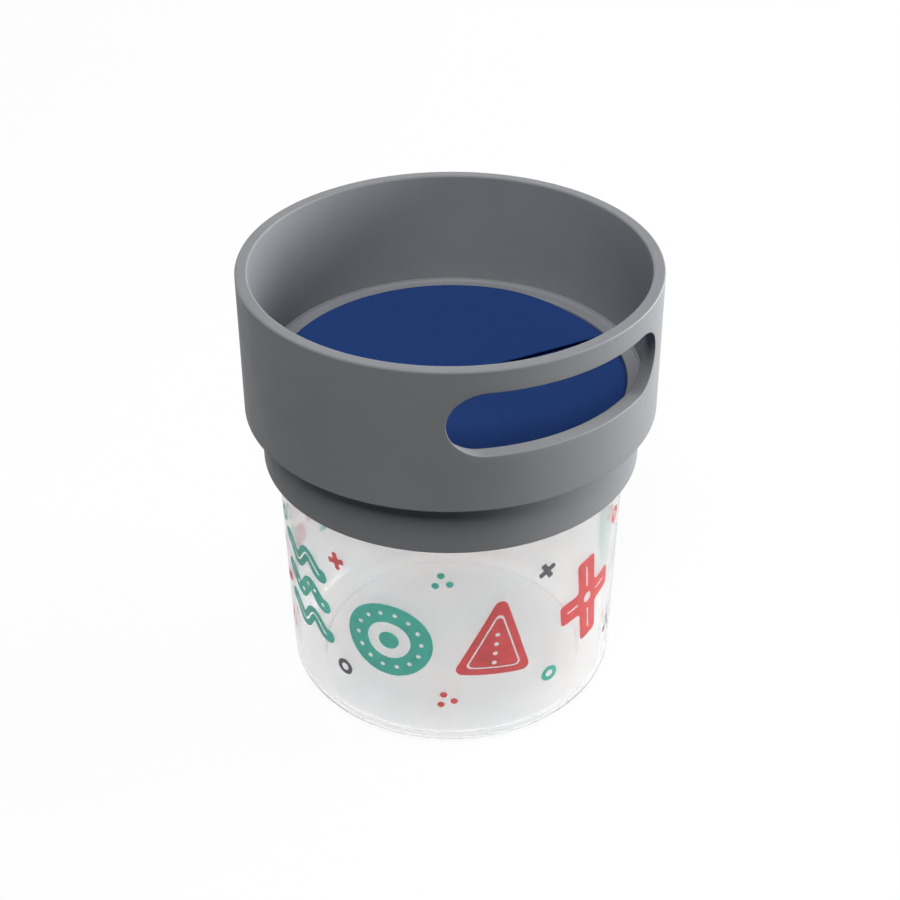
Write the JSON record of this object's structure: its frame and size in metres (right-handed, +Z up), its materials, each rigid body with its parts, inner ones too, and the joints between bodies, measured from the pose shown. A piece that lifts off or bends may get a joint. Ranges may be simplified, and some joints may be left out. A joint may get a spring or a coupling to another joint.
{
  "type": "snack container",
  "caption": "Translucent screw-together toddler snack cup with a grey collar, a stadium finger slot and overlapping fabric flaps that a hand reaches through.",
  "frame": {"origin": "centre of the cup's base, on the surface it stands on", "axes": "+Z up along the cup's axis, -Y out through the middle of the finger slot, +X to the right of someone facing the slot"},
  "size_m": [0.104, 0.104, 0.1183],
  "materials": {
    "cup_plastic": "frosted translucent, satin",
    "silicone": "matte translucent silicone",
    "grey_plastic": "fine matte moulded texture",
    "ring_plastic": "fine matte moulded texture",
    "blue_fabric": "matte close-woven fabric"
  },
  "bodies": {
    "cup": {"cup": "cup_plastic"},
    "gasket": {"gasket": "silicone"},
    "collar": {"collar": "grey_plastic", "retaining_ring": "ring_plastic", "front_flap_margin": "blue_fabric", "back_flap_margin": "blue_fabric"},
    "front_flap": {"front_flap": "blue_fabric"},
    "back_flap": {"back_flap": "blue_fabric"}
  },
  "joints": [
    {"name": "collar_turn", "type": "hinge", "parent": "cup", "child": "gasket", "pos_m": [0, 0, 0.08215], "axis": [0, 0, 1], "range_deg": [0, 360]},
    {"name": "collar_lift", "type": "slide", "parent": "gasket", "child": "collar", "axis": [0, 0, 1], "range_m": [0, 0.005]},
    {"name": "front_flap_push", "type": "hinge", "parent": "collar", "child": "front_flap", "pos_m": [-0.00314, -0.02556, 0.08525], "axis": [-0.9925, 0.1219, 0], "range_deg": [0, 50], "stiffness_Nm_per_rad": 0.05},
    {"name": "back_flap_lift", "type": "hinge", "parent": "collar", "child": "back_flap", "pos_m": [0.00314, 0.02556, 0.0863], "axis": [-0.9925, 0.1219, 0], "range_deg": [0, 35], "stiffness_Nm_per_rad": 0.05}
  ],
  "couplings": [
    {"joint": "collar_lift", "follows": "collar_turn", "m_per_rad": 0.00079577}
  ]
}
